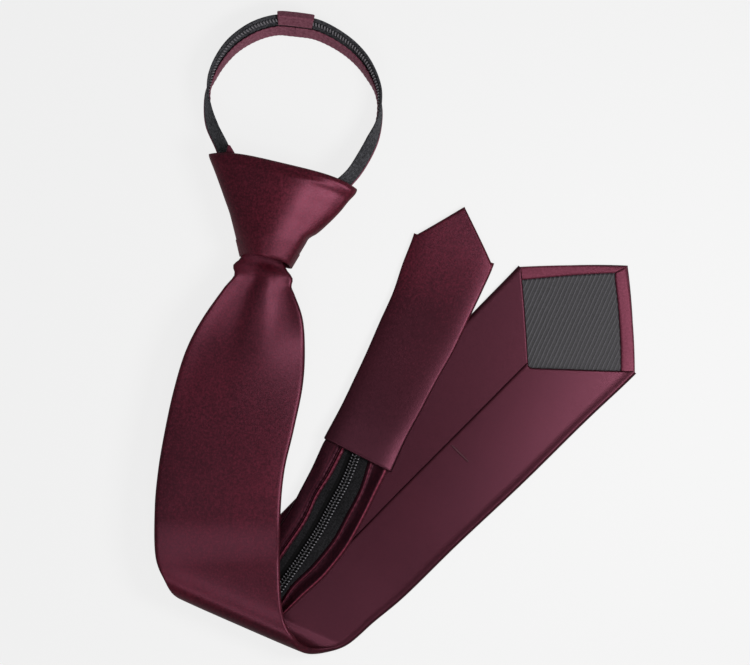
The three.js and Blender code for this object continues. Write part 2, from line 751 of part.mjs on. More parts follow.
// Slider, hidden in the knot, as one plain piece.
const sliderShape = new THREE.Shape();
const sliderNose = 0.3;
sliderShape.moveTo(-sliderWidth / 2, sliderLength / 2);
sliderShape.lineTo(-sliderWidth * sliderNose, -sliderLength / 2);
sliderShape.lineTo(sliderWidth * sliderNose, -sliderLength / 2);
sliderShape.lineTo(sliderWidth / 2, sliderLength / 2);
const sliderSolid = new THREE.ExtrudeGeometry(sliderShape, { depth: sliderHeight, bevelEnabled: false });
sliderSolid.translate(0, 0, sliderRise - sliderHeight / 2);
sliderSolid.rotateZ(knotTurn);
const sliderAt = shareMap(-0.2704, 0.1665, 0);
addPart("slider", sliderSolid.translate(sliderAt.x, sliderAt.y, 0), sliderBlack, 0.4, 0.6);

// The middle of the tie's outline stands over the origin.
group.position.set(-originX, -originY, 0);

export default group;
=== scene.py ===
import bmesh
import bpy
import mathutils
import numpy as np
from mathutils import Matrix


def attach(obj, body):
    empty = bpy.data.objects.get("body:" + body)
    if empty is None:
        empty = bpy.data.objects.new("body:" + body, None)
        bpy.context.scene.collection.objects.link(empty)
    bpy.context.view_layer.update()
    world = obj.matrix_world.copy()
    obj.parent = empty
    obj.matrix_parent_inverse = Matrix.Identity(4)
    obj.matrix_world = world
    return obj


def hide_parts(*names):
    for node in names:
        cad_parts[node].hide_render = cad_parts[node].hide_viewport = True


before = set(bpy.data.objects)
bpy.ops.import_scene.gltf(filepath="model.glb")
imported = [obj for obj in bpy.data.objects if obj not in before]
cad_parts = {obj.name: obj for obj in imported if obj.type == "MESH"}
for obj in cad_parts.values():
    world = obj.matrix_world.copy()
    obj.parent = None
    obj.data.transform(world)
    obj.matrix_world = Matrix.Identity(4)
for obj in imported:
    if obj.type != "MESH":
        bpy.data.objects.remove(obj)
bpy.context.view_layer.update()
scene = bpy.context.scene
scene.view_settings.view_transform = "Standard"
mm = 0.001
uvStep = 0.01  # one unit of a cloth's uv map is 100 mm

# the tie's plan and the height of its lower fold in mm; the shift centres it over the origin
tie = {"width": 240, "length": 326, "shift": (-0.2, -4.1), "roll": 22.8}


# a place in mm, from shares of the plan and a height in mm
def plan(x, y, z=0):
    return [x * tie["width"] + tie["shift"][0], y * tie["length"] + tie["shift"][1], z]


# 0 to 1 with soft ends, as the value goes from low to high
def smooth(low, high, value):
    t = np.clip((value - low) / (high - low), 0, 1)
    return t * t * (3 - 2 * t)


def unit(v):
    return v / np.maximum(np.linalg.norm(v, axis=-1, keepdims=True), 1e-12)


def mix(a, b, t):
    return a + (b - a) * t


# two grids side by side, as a uv map in mm
def pair(across, along):
    return np.stack(np.broadcast_arrays(across, along), -1)


# the same values as arrays of one common shape
def level(*values):
    return np.broadcast_arrays(*(np.asarray(v, float) for v in values))


# smooth value at places between the numbers of a table
def through(xs, ys, at):
    xs, ys = np.asarray(xs, float), np.asarray(ys, float)
    slope = np.gradient(ys, xs)
    k = np.clip(np.searchsorted(xs, at) - 1, 0, len(xs) - 2)
    span = xs[k + 1] - xs[k]
    t = np.clip((at - xs[k]) / span, 0, 1)
    return ((1 + 2 * t) * (1 - t) ** 2 * ys[k] + t * (1 - t) ** 2 * span * slope[k]
            + t * t * (3 - 2 * t) * ys[k + 1] + t * t * (t - 1) * span * slope[k + 1])


# smooth curve through control points, read at fractional row numbers (centripetal Catmull-Rom)
def rowCurve(points):
    points = np.asarray(points, float)
    if points.ndim == 1:
        points = points[:, None] * [1, 0, 0] + np.arange(len(points))[:, None] * [0, 1, 0]
    more = np.vstack([2 * points[0] - points[1], points, 2 * points[-1] - points[-2]])
    gaps = np.maximum(np.linalg.norm(np.diff(more, axis=0), axis=1) ** 0.5, 0.01)
    last = len(points) - 1

    def at(rows):
        rows = np.clip(np.asarray(rows, float), 0, last)
        k = np.minimum(rows.astype(int), last - 1)
        t = (rows - k)[..., None]
        a, b, c, d = (more[k + i] for i in range(4))
        d0, d1, d2 = (gaps[k + i][..., None] for i in range(3))
        m1 = ((b - a) / d0 - (c - a) / (d0 + d1) + (c - b) / d1) * d1
        m2 = ((c - b) / d1 - (d - b) / (d1 + d2) + (d - c) / d2) * d1
        return b + m1 * t + (3 * (c - b) - 2 * m1 - m2) * t**2 + (2 * (b - c) + m1 + m2) * t**3

    return at


def lengthsAlong(line):
    return np.concatenate([[0], np.cumsum(np.linalg.norm(np.diff(line, axis=0), axis=1))])


# even row numbers along a curve, and the curve's running length at each
def measure(curve, last):
    rows = np.linspace(0, last, 60 * last + 1)
    return rows, lengthsAlong(curve(rows))


# a ribbon between two edge curves: place goes across from its middle, then up along its normal
class Ribbon:
    def __init__(self, left, right, floor=-1e6):
        self.left, self.right, self.floor = rowCurve(left), rowCurve(right), floor
        self.last = len(left) - 1
        self.rows, self.lengths = measure(lambda rows: (self.left(rows) + self.right(rows)) / 2, self.last)

    def half(self, rows):
        return np.linalg.norm(self.right(rows) - self.left(rows), axis=-1) / 2

    def onSurface(self, rows, across):
        a, b = self.left(rows), self.right(rows)
        point = (a + b) / 2 + unit(b - a) * across[..., None]
        point[..., 2] = np.maximum(point[..., 2], self.floor)
        return point

    def place(self, rows, across, height):
        rows, across, height = level(rows, across, height)
        along = self.onSurface(np.minimum(rows + 0.05, self.last), across)
        along = along - self.onSurface(np.maximum(rows - 0.05, 0), across)
        normal = unit(np.cross(along, self.right(rows) - self.left(rows)))
        return self.onSurface(rows, across) + normal * height[..., None]

    def lengthAt(self, rows):
        return np.interp(rows, self.rows, self.lengths)

    def rowAt(self, length):
        return np.interp(length, self.lengths, self.rows)


# half turn of the cloth from the upper layer down to the lower one
def rollRows(upper, lower, high, low, outward, count=4):
    angle = np.linspace(0, np.pi, count + 1)[:, None]
    upper, lower = np.array(upper), np.array(lower)
    radius = (high - low) / 2
    rows = mix(upper, lower, angle / np.pi) + outward * radius * np.sin(angle)
    rows[:, 2] = low + radius + radius * np.cos(angle[:, 0])
    return rows


# section of a flat slab with round edges: share across, turn of the edge, part of the half thickness
def slab(reach, columns, steps, side=1):
    bend = np.radians(np.linspace(90, -90, steps))
    flat, edge = np.linspace(-reach, reach, columns) * side, np.ones(steps) * side
    share = np.concatenate([flat, edge, flat[::-1], -edge, flat[:1]])
    turned = np.concatenate([0 * flat, np.cos(bend), 0 * flat, np.cos(bend), [0]])
    rise = np.concatenate([0 * flat + 1, np.sin(bend), 0 * flat - 1, -np.sin(bend), [1]])
    return share, turned, rise


# six times the volume inside the quads: positive where they face outwards
def volume(places, quads):
    a, b, c, d = (places[quads[:, k]] - places.mean(0) for k in range(4))
    return (a * np.cross(b, c) + a * np.cross(c, d)).sum()


# mesh from a grid of points in mm, with uv in mm; a ring closes each row and turns its faces outwards
def surface(name, points, uv, ring=False, capped=False, flip=False, weld=False):
    rows, columns = points.shape[:2]
    own = columns - 1 if ring else columns
    vertex = np.arange(rows * own).reshape(rows, own)
    if ring:
        vertex = np.hstack([vertex, vertex[:, :1]])
    places = points[:, :own].reshape(-1, 3) * mm
    here, there = slice(None, -1), slice(1, None)
    corners = [(here, here), (here, there), (there, there), (there, here)]
    quads = np.stack([vertex[c] for c in corners], -1).reshape(-1, 4)
    if ring:
        flip = volume(places, quads) < 0
    turned = slice(None, None, -1 if flip else 1)
    uvs = np.stack([uv[c] for c in corners], -2).reshape(-1, 4, 2)[:, turned].reshape(-1, 2)
    faces = quads[:, turned].tolist()
    if capped:
        for row, away in [(0, -1), (-1, 1)]:
            order = slice(None, None, -away if flip else away)
            faces.append(vertex[row, :own][order].tolist())
            uvs = np.vstack([uvs, uv[row, :own][order]])
    return newPiece(name, places, faces, uvs, weld)


# many closed loops of wire: points is loops x path x section x 3
def loops(name, points, uv=None):
    count, path, section = points.shape[:3]
    at = np.arange(count * path * section).reshape(count, path, section)
    nextPath, nextSection = np.roll(at, -1, 1), np.roll(at, -1, 2)
    both = np.roll(nextPath, -1, 2)
    quads = np.stack([at, nextSection, both, nextPath], -1).reshape(-1, 4)
    places = points.reshape(-1, 3) * mm
    if volume(places, quads) < 0:
        quads = quads[:, ::-1]
    return newPiece(name, places, quads.tolist(), None if uv is None else uv.reshape(-1, 2)[quads.ravel()])


def newObject(name, data):
    made = bpy.data.objects.new(name, data)
    scene.collection.objects.link(made)
    return made


def newPiece(name, places, faces, uvs=None, weld=False):
    mesh = bpy.data.meshes.new(name)
    mesh.from_pydata(places.tolist(), [], faces)
    if uvs is not None:
        mesh.uv_layers.new(name="cloth").data.foreach_set("uv", (uvs * uvStep).ravel())
    mesh.polygons.foreach_set("use_smooth", [True] * len(mesh.polygons))
    mesh.update()
    piece = newObject(name, mesh)
    if weld:
        made = bmesh.new()
        made.from_mesh(mesh)
        bmesh.ops.remove_doubles(made, verts=made.verts, dist=2e-5)
        made.to_mesh(mesh)
        made.free()
    return piece


# smooth height table read at row numbers and shares across from -1 to 1 (cubic both ways)
def relief(table, rows, share):
    numbers = [row[0] for row in table]
    heights = np.pad(np.array([row[1] for row in table], float), 1, mode="edge")
    r = through(numbers, np.arange(len(numbers)), rows)
    c = (np.clip(share, -1, 1) + 1) / 2 * (heights.shape[1] - 3)
    weights = []
    for value, count in [(r, len(numbers)), (c, heights.shape[1] - 2)]:
        k = np.clip(value.astype(int), 0, count - 2)
        t = value - k
        weights.append((k, [(-t + 2 * t**2 - t**3) / 2, (2 - 5 * t**2 + 3 * t**3) / 2,
                            (t + 4 * t**2 - 3 * t**3) / 2, (t**3 - t**2) / 2]))
    (kr, wr), (kc, wc) = weights
    return sum(wr[i] * wc[j] * heights[kr + i, kc + j] for i in range(4) for j in range(4))


# gives the cloth its thickness, inwards from the outside
def thicken(piece, thickness):
    modifier = piece.modifiers.new("cloth", "SOLIDIFY")
    modifier.thickness = thickness * mm
    modifier.offset = -1
    modifier.use_even_offset = False
    return piece


def dress(piece, look, node):
    piece.data.materials.append(look)
    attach(piece, "root")
    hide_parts(node)
    return piece


# one layer's area in square metres, as two triangles for each cell of the grid
def areaOf(points):
    a = np.cross(points[1:, :-1] - points[:-1, :-1], points[:-1, 1:] - points[:-1, :-1])
    b = np.cross(points[:-1, 1:] - points[1:, 1:], points[1:, :-1] - points[1:, 1:])
    return float((np.linalg.norm(a, axis=-1) + np.linalg.norm(b, axis=-1)).sum() / 2e6)


# slow even noise in [-1, 1] from a few seeded waves, read at points in mm
def waves(points, size, seed, count=7):
    rng = np.random.default_rng(seed)
    direction = unit(rng.normal(size=(count, 3)))
    phase = rng.uniform(0, 2 * np.pi, count)
    stretch = rng.uniform(0.6, 1.6, count)
    angle = points @ direction.T * (2 * np.pi / size) * stretch + phase
    return np.sin(angle).sum(-1) / count**0.5 / 1.4


# materials
def colour(r, g, b):
    value = np.array([r, g, b]) / 255
    linear = np.where(value <= 0.04045, value / 12.92, ((value + 0.055) / 1.055) ** 2.4)
    return (*linear.tolist(), 1.0)


class Nodes:
    def __init__(self, name):
        self.material = bpy.data.materials.new(name)
        self.material.use_nodes = True
        self.tree = self.material.node_tree
        self.shader = self.tree.nodes["Principled BSDF"]

    def add(self, kind, inputs=(), **settings):
        node = self.tree.nodes.new(kind)
        for key, value in settings.items():
            setattr(node, key, value)
        for key, value in dict(inputs).items():
            self.give(node.inputs[key], value)
        return node

    def give(self, socket, value):
        if isinstance(value, bpy.types.NodeSocket):
            self.tree.links.new(value, socket)
        else:
            socket.default_value = value

    def math(self, operation, *values):
        return self.add("ShaderNodeMath", dict(enumerate(values)), operation=operation).outputs[0]

    def cloth(self):
        return self.add("ShaderNodeUVMap", uv_map="cloth").outputs[0]

    def split(self, place):
        return self.add("ShaderNodeSeparateXYZ", {0: place}).outputs

    # a times a factor, plus b
    def plus(self, a, factor, b):
        return self.math("MULTIPLY_ADD", a, factor, b)

    # noise in metres over the object
    def noise(self, scale, detail, roughness=0.5):
        place = self.add("ShaderNodeTexCoord").outputs["Object"]
        return self.add("ShaderNodeTexNoise", {"Vector": place, "Scale": scale, "Detail": detail,
                                               "Roughness": roughness}).outputs[0]

    def ramp(self, value, low, high, facts):
        node = self.add("ShaderNodeValToRGB", {"Fac": value})
        first, last = node.color_ramp.elements
        first.position, last.position = low, high
        first.color, last.color = colour(*facts["dark"]), colour(*facts["light"])
        return node

    def bump(self, height, strength, distance):
        inputs = {"Height": height, "Strength": strength, "Distance": distance}
        return self.add("ShaderNodeBump", inputs).outputs[0]

    def set(self, **inputs):
        for key, value in inputs.items():
            self.give(self.shader.inputs[key.replace("_", " ")], value)
        return self.material


# satin: two close shades that drift over the cloth, fine warp threads, a fine diagonal in the bump; it can
# take painted shade along the cloth and painted highlights on folded edges
def satin(name, facts):
    n = Nodes(name)
    uv = n.cloth()
    drift = n.noise(22, 3)
    threads = n.add("ShaderNodeMapping", {"Vector": uv, "Scale": (420, 30, 1)})
    streak = n.add("ShaderNodeTexNoise", {"Vector": threads.outputs[0], "Scale": 1.0, "Detail": 2}).outputs[0]
    grain = n.noise(850, 3, 0.8)
    shade = n.plus(streak, 0.15, n.plus(drift, 0.25, n.plus(grain, 0.5, 0.0)))
    if "fade" in facts:  # painted shade: darker from one length along the cloth, in mm, to another
        along = n.split(uv)[1]
        start, startDark, finish, finishDark = facts["fade"]
        near = n.add("ShaderNodeMapRange", {"Value": along, "From Min": start * uvStep, "To Min": startDark,
                                            "From Max": finish * uvStep, "To Max": finishDark}).outputs[0]
        shade = n.math("SUBTRACT", shade, near)
    ramp = n.ramp(shade, 0.4, 0.6, facts)
    # the darkest stop, which the painted shade reaches
    ramp.color_ramp.elements.new(0.15).color = colour(*(0.5 * k for k in facts["dark"]))
    shown = ramp.outputs[0]
    if "edge" in facts:  # painted highlight: folded edges made paler where they catch the light
        paintedEdgeLight = n.add("ShaderNodeAttribute", attribute_name="edge").outputs["Fac"]
        both = {0: paintedEdgeLight, 6: shown, 7: colour(*facts["edge"])}
        shown = n.add("ShaderNodeMix", both, data_type="RGBA").outputs[2]
    turned = n.add("ShaderNodeMapping", {"Vector": uv, "Rotation": (0, 0, 0.785), "Scale": (110, 110, 110)})
    twill = n.add("ShaderNodeTexWave", {"Vector": turned.outputs[0], "Scale": 1.0, "Distortion": 0.6,
                                        "Detail": 2, "Detail Scale": 3}).outputs[1]
    height = n.plus(twill, 0.35, n.plus(streak, 0.5, n.plus(grain, 0.5, 0.0)))
    gloss = n.plus(n.math("ADD", grain, streak), 0.2, facts["rough"] - 0.2)
    tangent = n.add("ShaderNodeTangent", direction_type="UV_MAP", uv_map="cloth").outputs[0]
    return n.set(Base_Color=shown, Roughness=gloss, Normal=n.bump(height, facts["bump"], 0.00006),
                 IOR=facts["ior"], Specular_IOR_Level=0.5, Specular_Tint=(1.0, 0.3, 0.47, 1.0),
                 Anisotropic=facts["aniso"], Anisotropic_Rotation=0.0, Tangent=tangent,
                 Sheen_Weight=facts["sheen"], Sheen_Roughness=0.35, Sheen_Tint=colour(*facts["sheenTint"]))


satinFacts = {"dark": (40, 9, 15), "light": (94, 25, 40), "rough": 0.36, "aniso": 0.2, "sheen": 0.03,
              "ior": 1.66, "sheenTint": (190, 110, 135), "bump": 0.6}
# painted light: the knot's satin is a lighter copy of the same cloth
litKnotLook = satin("satinKnotLit", {**satinFacts, "dark": (51, 13, 20), "light": (107, 31, 47)})
# painted shade: the blade darker over its back flaps, the cap darker towards its mouth
bladeLook = satin("satinBlade", {**satinFacts, "fade": (185, 0.0, 245, 0.16)})
capLook = satin("satinCap", {**satinFacts, "fade": (0, 0.26, 95, 0.0)})
# painted shade and painted highlight: the strips' satin is a darker copy of the cloth with paler folded edges
shadedStripLook = satin("satinStripShaded", {**satinFacts, "dark": (7, 1, 3), "light": (46, 9, 17), "edge": (160, 66, 88),
                                 "ior": 1.45})
facingLook = satin("satinFacing", {**satinFacts, "dark": (80, 32, 44), "light": (122, 60, 77), "rough": 0.44,
                                   "sheenTint": (210, 150, 170)})
neckSatinLook = satin("satinNeck", {**satinFacts, "dark": (108, 60, 74), "light": (150, 97, 112),
                                    "rough": 0.46})


# woven tape: fine ribs across, herringbone lanes along
def tape(name, facts):
    n = Nodes(name)
    split = n.split(n.cloth())
    zigzag = n.math("PINGPONG", split[0], facts["lane"] * uvStep)
    slant = n.math("ADD", split[1], n.math("MULTIPLY", zigzag, 1.2))
    ribs = n.math("SINE", n.math("MULTIPLY", slant, 2 * np.pi / (facts["pitch"] * uvStep)))
    fuzz = n.noise(900, 3, 0.8)
    drift = n.noise(60, 2)
    shade = n.plus(ribs, 0.16, n.plus(fuzz, 1.1, n.plus(drift, 0.3, 0.1)))
    if "paintedShadow" in facts:  # painted shadow: a darker lane beside the coil, between two distances from the zip's middle, in mm
        low, high = (side * uvStep for side in facts["paintedShadow"])
        inside = n.math("GREATER_THAN", split[0], low)
        inside = n.math("MULTIPLY", inside, n.math("LESS_THAN", split[0], high))
        shade = n.plus(inside, -0.3, shade)
    ramp = n.ramp(shade, 0.7, 1.0, facts)
    return n.set(Base_Color=ramp.outputs[0], Roughness=0.78, Sheen_Weight=0.02, Sheen_Roughness=0.5,
                 Specular_IOR_Level=0.15, Normal=n.bump(n.plus(ribs, 0.5, fuzz), 0.5, 0.00015))


neckTapeLook = tape("neckTape", {"dark": (28, 28, 31), "light": (96, 96, 101), "lane": 3.0, "pitch": 0.7})
tailTapeLook = tape("tailTape", {"dark": (3, 3, 4), "light": (43, 42, 45), "lane": 2.2, "pitch": 1.0,
                                 "paintedShadow": (-4.6, -2.0)})


# nylon coil and thread: two shades with a slight unevenness, and painted glints in columns on the coil
def coil(name, facts):
    n = Nodes(name)
    spots = n.noise(900, 2)
    shade = spots
    if "column" in facts:  # painted glints: the black wire is made pale in three columns between the rows of stitches
        wave = n.math("MULTIPLY", n.split(n.cloth())[0], 2 * np.pi / (facts["column"] * uvStep))
        wave = n.math("COSINE", wave)
        shade = n.plus(n.math("MAXIMUM", wave, -0.2), 0.55, n.plus(spots, 0.25, 0.2))
    ramp = n.ramp(shade, facts.get("from", 0.0), 1.0, facts)
    gloss = n.plus(spots, 0.2, facts["rough"])
    return n.set(Base_Color=ramp.outputs[0], Roughness=gloss, Normal=n.bump(spots, 0.2, 0.00005))


coilLook = coil("coil", {"dark": (3, 3, 4), "light": (150, 148, 155), "rough": 0.25, "column": 1.75,
                         "from": 0.42})
neckCoilLook = coil("neckCoil", {"dark": (96, 93, 98), "light": (150, 146, 152), "rough": 0.25})
threadLook = coil("thread", {"dark": (60, 22, 33), "light": (92, 44, 57), "rough": 0.55})
sliderLook = coil("slider", {"dark": (12, 12, 13), "light": (24, 24, 26), "rough": 0.3})


# lining: dark grey with thin lighter ribs that run from lower left to upper right
def lining(name, facts):
    n = Nodes(name)
    place = n.add("ShaderNodeTexCoord").outputs["Object"]
    split = n.split(place)
    turn = np.radians(facts["angle"])
    across = n.plus(split[0], float(np.sin(turn)), n.plus(split[1], -float(np.cos(turn)), 0.0))
    across = n.plus(n.noise(90, 2), 0.0006, across)
    wave = n.math("SINE", n.math("MULTIPLY", across, 2 * np.pi / (facts["pitch"] * mm)))
    rib = n.math("POWER", n.math("MAXIMUM", n.plus(wave, 0.5, 0.5), 0.0), 5.0)
    fuzz = n.noise(1100, 3, 0.7)
    ramp = n.ramp(n.plus(rib, 0.6, n.plus(fuzz, 0.6, 0.0)), 0.1, 0.85, facts)
    return n.set(Base_Color=ramp.outputs[0], Roughness=0.6, Sheen_Weight=0.2,
                 Normal=n.bump(n.plus(fuzz, 0.3, rib), 0.5, 0.0003))


liningLook = lining("lining", {"dark": (7, 6, 9), "light": (74, 71, 77), "angle": 66, "pitch": 2.0})
print("materials made")

# blade: edges as shares of the tie's plan, height on the front as a share of the roll
blade = {
    "front": [
        ((-0.318, 0.1511), (-0.2344, 0.1388), 0.57), ((-0.3235, 0.1228), (-0.2281, 0.1071), 0.59),
        ((-0.3385, 0.1112), (-0.2138, 0.0908), 0.636), ((-0.3352, 0.0974), (-0.2165, 0.0798), 0.66),
        ((-0.3573, 0.0767), (-0.2108, 0.069), 0.7),
        ((-0.4031, 0.0284), (-0.1933, 0.0314), 0.746), ((-0.4365, -0.0192), (-0.1885, -0.0176), 0.811),
        ((-0.4615, -0.079), (-0.1927, -0.0713), 0.855), ((-0.4813, -0.1465), (-0.2115, -0.1403), 0.89),
        ((-0.4938, -0.2017), (-0.2313, -0.2048), 0.912), ((-0.501, -0.263), (-0.2396, -0.286), 0.921)],
    "roll": [((-0.4969, -0.3459), (-0.2323, -0.4302)), ((-0.376, -0.3857), (-0.1052, -0.4732))],
    "back": [
        ((-0.2781, -0.2998), (-0.0427, -0.4348)), ((-0.1948, -0.2354), (0.0135, -0.4005)),
        ((-0.0948, -0.1572), (0.1281, -0.3183)), ((0.0365, -0.0544), (0.2656, -0.2232)),
        ((0.1646, 0.0422), (0.401, -0.125)), ((0.2569, 0.112), (0.5027, -0.054)),
        ((0.3844, 0.2129), (0.6302, 0.0468))],
    "thick": 3.6, "cloth": 0.9, "lifted": 4.9, "lap": 0.06,
    "point": 37, "pointCut": 0.93, "bow": 5.2, "curl": 1.1,  # curl is the radius of the cloth's folded end
    "sink": 2.5, "sinkFrom": -0.275, "sinkTo": -0.349,
    "rows": 240, "endRows": 70,
    # at row numbers, heights in mm at nine shares across: pleats under the knot, the fall to the roll
    "relief": [
        (1, [0.9, 0.9, 0.9, 0.9, 1, 1, 0.9, 0.9, 0.9]), (2, [1.4, 1.2, 0.9, 0.9, 1.6, 1.7, 0.9, 0.4, 0.4]),
        (3, [2.6, 1.4, 0.8, 0.6, 1.7, 1.8, 0.6, -0.2, -0.1]), (4, [3, 1.4, 0.5, 0.2, 1, 1, -0.4, -0.9, -0.5]),
        (5, [3, 1.5, 0.6, 0.1, 0.6, 0.3, -0.9, -1.4, -1.1]),
        (6, [1.4, 0.5, 0.1, 0, 0.2, 0, -0.9, -2.1, -3.2]),
        (7, [0.3, 0, 0, 0, 0, -0.3, -0.8, -1.4, -2]), (8, [0, 0.1, 0, 0, 0, 0, -0.1, -0.2, -0.4]),
        (9, [-0.4, 0, 0.1, 0.1, 0, 0, 0, 0, -0.2]), (10, [-0.3, 0, 0, 0, 0, 0, 0, 0, 0]), (13, [0] * 9)],
}
bladeHigh, bladeLow = tie["roll"] - blade["thick"] / 2, blade["thick"] / 2
rollFrom, rollTo = ([np.array(plan(*p)) for p in ends] for ends in blade["roll"])
rollOut = unit(np.cross(rollFrom[1] - rollFrom[0], [0, 0, 1.0]))


def bladeEdge(side):
    front = [plan(*row[side], row[2] * tie["roll"]) for row in blade["front"]]
    roll = rollRows(rollFrom[side], rollTo[side], bladeHigh, bladeLow, rollOut)
    back = [plan(*row[side], bladeLow) for row in blade["back"]]
    return np.vstack([front, roll, back])


bladeRibbon = Ribbon(bladeEdge(0), bladeEdge(1), bladeLow)
tipRow = bladeRibbon.last - 1
tipBase = float(bladeRibbon.lengthAt(tipRow))
tipHalf = float(bladeRibbon.half(np.array(tipRow, float)))


# the front is at depth 0; the relief and a sink before the roll move all the layers
def bladePoint(rows, across, depth):
    more = relief(blade["relief"], rows, across / bladeRibbon.half(rows))
    up = bladeRibbon.onSurface(rows, across)[..., 1]
    sunk = smooth(plan(0, blade["sinkFrom"])[1], plan(0, blade["sinkTo"])[1], up) * smooth(9.5, 10, rows)
    more = more - blade["sink"] * sunk * (1 - smooth(11, 12.5, rows))
    return bladeRibbon.place(rows, across, blade["thick"] / 2 - depth + more)


# section from one flap round the front to the other: share across, turn (nan on the flats), depth, and the
# side of the cloth (1 front, -1 back, 0 edge)
def bladeSection():
    full, lifted, lap = blade["thick"], blade["lifted"], blade["lap"]
    upper = np.array([-lap, -lap + 0.006, -lap + 0.02, -0.02, 0.03, 0.09, 0.15, 0.18, 0.21, 0.24, 0.27,
                      0.36, 0.47, 0.58, 0.69, 0.8, 0.9, 0.97])
    upperDepth = mix(lifted, full - 0.4, np.clip((upper + lap) / 1.03, 0, 1) ** 2.2)
    upperDepth[0] -= 0.7
    upperDepth[1] -= 0.2
    lower = np.append(-upper[::-1][:-8], [0.0, lap])
    front = np.linspace(0.97, -0.97, 35)
    turn, edge = np.linspace(90, -90, 9), np.zeros(9)
    flat = [np.full(len(line), np.nan) for line in (upper, front, lower)]
    share = np.concatenate([upper, edge + 1, front, edge - 1, lower])
    angle = np.concatenate([flat[0], turn, flat[1], turn[::-1], flat[2]])
    depth = np.concatenate([upperDepth, edge, -0.25 * (1 - front**4), edge, 0 * lower + full])
    face = np.concatenate([0 * upper - 1, edge, 0 * front + 1, edge, 0 * lower - 1])
    return share, np.radians(angle), depth, face


# the section carried along the ribbon to the point's slopes, where the cloth folds inwards
def bladeGrid():
    share, angle, depth, face = bladeSection()
    turning = ~np.isnan(angle)
    radius, curl = blade["thick"] / 2, blade["curl"]
    count, ends = blade["rows"], blade["endRows"]
    common = float(bladeRibbon.lengthAt(tipRow - 1.5))
    inward = 1 - np.abs(share)
    end = np.where(face == 1, tipBase + inward * blade["point"] + blade["bow"] * inward * (1 - inward),
                   tipBase - inward * blade["point"] * blade["pointCut"])
    end = np.where(turning, tipBase, end)
    length = np.repeat(np.linspace(0, common, count)[:, None], len(share), 1)
    body = np.linspace(0, 1, ends + 1)[1:, None]
    tail = common + (end - curl * (face != 0) - common) * body
    bend = np.radians([20, 40, 60, 75, 90])[:, None]
    over = (end - curl * (face != 0)) + curl * (face != 0) * np.sin(bend) + 0.02 * bend
    length = np.vstack([length, tail, over])
    sink = np.vstack([np.zeros((count + ends, 1)), curl * (1 - np.cos(bend))]) * face
    rows = bladeRibbon.rowAt(length)
    turned = np.nan_to_num(np.cos(angle))
    across = share * (bladeRibbon.half(rows) - radius + radius * turned * turning)
    deep = np.where(turning, radius + radius * np.sin(np.nan_to_num(angle)), depth) + sink
    points = bladePoint(rows, across, deep)
    return points, pair(lengthsAlong(points[200]), length)


points, uv = bladeGrid()
bladePiece = dress(thicken(surface("bladeSatin", points, uv), blade["cloth"]), bladeLook, "blade")

# lining and hems of the point, in shares of its two slopes; the rises are in mm
tip = {"hem": 0.146, "hemLeft": 0.123, "hemRight": 0.069, "inset": 0.012, "mitre": 0.004, "end": 1.05,
       "tuck": 1.05, "hemRise": 2.35, "liningRise": 1.95, "hemCloth": 0.7, "liningCloth": 0.6}


# a place on the point, by its shares in from the left and the right slope
def tipPoint(leftSide, rightSide, depth):
    across = np.clip(rightSide - leftSide, -0.982, 0.982) * tipHalf
    inward = np.clip(1 - np.abs(rightSide - leftSide), 0, 1)
    length = tipBase + blade["point"] * (1 - leftSide - rightSide) + blade["bow"] * inward * (1 - inward)
    return bladePoint(bladeRibbon.rowAt(length), across, depth)


# a hem: q runs from the outer edge to the inner one, t from the point to the far end
def hemGrid(onSide):
    q = np.array([0, 0.02, 0.06, 0.12, 0.2, 0.35, 0.5, 0.65, 0.8, 0.9, 0.95, 0.98, 1.0])
    t = np.linspace(0, 1, 90)[:, None]
    own, other = (tip["hemLeft"], tip["hemRight"]) if onSide else (tip["hemRight"], tip["hemLeft"])
    width = tip["inset"] + (mix(own, tip["hem"], t) - tip["inset"]) * q
    first = mix(tip["inset"], other, q) + tip["mitre"]
    along = first + (tip["end"] - first) * t
    rise = tip["hemRise"] - 1.1 * (1 - np.minimum(q / 0.12, 1)) ** 2 - 0.7 * smooth(0.93, 1, q)
    rise = rise + 0.12 * np.sin(q * np.pi)
    a, b = (width, along) if onSide else (along, width)
    return tipPoint(a, b, rise + 0 * along), pair(q * 8, t * 60)


for name, onSide, node in [("hemTop", False, "tip_facing_top"), ("hemSide", True, "tip_facing_side")]:
    piece = thicken(surface(name, *hemGrid(onSide), flip=not onSide), tip["hemCloth"])
    dress(piece, facingLook, node)

a, b = np.meshgrid(np.linspace(0, 1, 60), np.linspace(0, 1, 60), indexing="ij")
leftSide = mix(mix(tip["hemLeft"], tip["hem"], b) + 0.004, tip["tuck"], a)
rightSide = mix(mix(tip["hemRight"], tip["hem"], a) + 0.004, tip["tuck"], b)
sag = waves(np.stack([a * 50, b * 50, a * 0], -1), 40, 5) * 0.12
points = tipPoint(leftSide, rightSide, tip["liningRise"] + sag)
piece = thicken(surface("tipLining", points, pair(a * 55, b * 55), flip=True), tip["liningCloth"])
liningPiece = dress(piece, liningLook, "tip_lining")
print("lining and hems made")

# bar tack: a short twisted thread bar across the lap
tack = {"length": 12, "back": 89, "radius": 0.42, "twists": 9, "above": 0.45}
t = np.linspace(0, 1, 90)[:, None]
phi = np.linspace(0, 2 * np.pi, 17)[None, :]
twist = 1 + 0.22 * np.cos(2 * phi - t * tack["twists"] * 2 * np.pi)
swell = tack["radius"] * np.sqrt(np.clip(1 - (2 * t - 1) ** 8, 0.02, 1)) * twist
across = t * tack["length"] + 0 * phi
row = bladeRibbon.rowAt(tipBase - tack["back"] + swell * np.sin(phi))
points = bladePoint(row, across, blade["lifted"] + tack["above"] + swell * np.cos(phi))
piece = surface("tackThread", points, pair(phi, across), ring=True, capped=True)
tackPiece = dress(piece, threadLook, "bar_tack")

